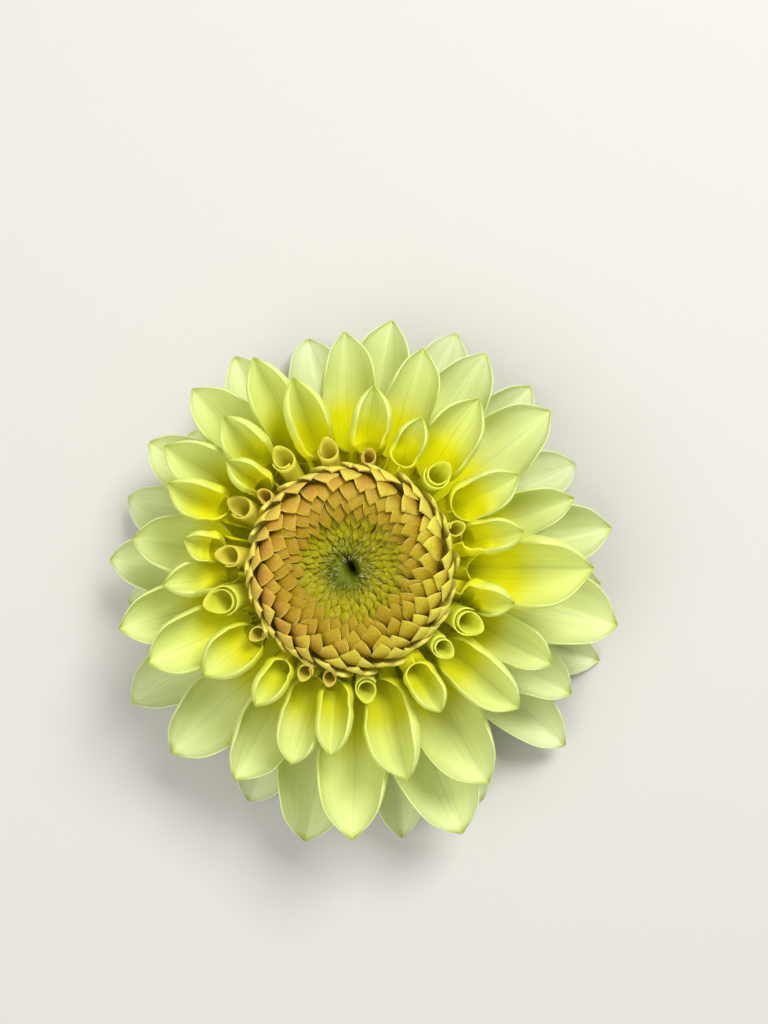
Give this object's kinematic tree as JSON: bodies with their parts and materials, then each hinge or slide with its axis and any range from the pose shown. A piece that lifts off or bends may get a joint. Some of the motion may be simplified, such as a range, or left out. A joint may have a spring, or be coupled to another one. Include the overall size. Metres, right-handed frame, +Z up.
{
  "type": "dahlia flower head",
  "caption": "Fully double dahlia flower head with pointed rolled petals, a ring of closed inner florets, green bracts and a cut stub of stem.",
  "frame": {"origin": "centre of the flower's bounding box in plan, on the surface that its lowest petal tips rest on", "axes": "+Z up along the flower's axis, out of its face; +Y and +X across the flower, bearings run clockwise from +Y seen from above"},
  "size_m": [0.1088, 0.1126, 0.0428],
  "materials": {
    "petal": "soft satin living petal, yellow-green, lets light through",
    "closed_floret": "satin closed florets, amber to yellow-green",
    "outer_bract": "matt leaf green",
    "inner_bract": "thin papery pale green",
    "stem": "matt green plant tissue"
  },
  "bodies": {
    "root": {"closed_floret_crown": "closed_floret", "inner_bract_cup": "inner_bract", "inner_petal_01": "petal", "inner_petal_02": "petal", "inner_petal_03": "petal", "inner_petal_04": "petal", "inner_petal_05": "petal", "inner_petal_06": "petal", "inner_petal_07": "petal", "inner_petal_08": "petal", "lower_petal_01": "petal", "lower_petal_02": "petal", "lower_petal_03": "petal", "lower_petal_04": "petal", "lower_petal_05": "petal", "lower_petal_06": "petal", "lower_petal_07": "petal", "lower_petal_08": "petal", "lower_petal_09": "petal", "lower_petal_10": "petal", "lower_petal_11": "petal", "lower_petal_12": "petal", "lowest_petal_01": "petal", "lowest_petal_02": "petal", "lowest_petal_03": "petal", "lowest_petal_04": "petal", "lowest_petal_05": "petal", "lowest_petal_06": "petal", "lowest_petal_07": "petal", "lowest_petal_08": "petal", "lowest_petal_09": "petal", "lowest_petal_10": "petal", "lowest_petal_11": "petal", "lowest_petal_12": "petal", "lowest_petal_13": "petal", "middle_petal_01": "petal", "middle_petal_02": "petal", "middle_petal_03": "petal", "middle_petal_04": "petal", "middle_petal_05": "petal", "middle_petal_06": "petal", "middle_petal_07": "petal", "middle_petal_08": "petal", "middle_petal_09": "petal", "middle_petal_10": "petal", "outer_bract_1": "outer_bract", "outer_bract_2": "outer_bract", "outer_bract_3": "outer_bract", "outer_bract_4": "outer_bract", "outer_bract_5": "outer_bract", "receptacle_and_stem": "stem", "upper_petal_01": "petal", "upper_petal_02": "petal", "upper_petal_03": "petal", "upper_petal_04": "petal", "upper_petal_05": "petal", "upper_petal_06": "petal", "upper_petal_07": "petal", "upper_petal_08": "petal", "upper_petal_09": "petal"}
  },
  "joints": []
}
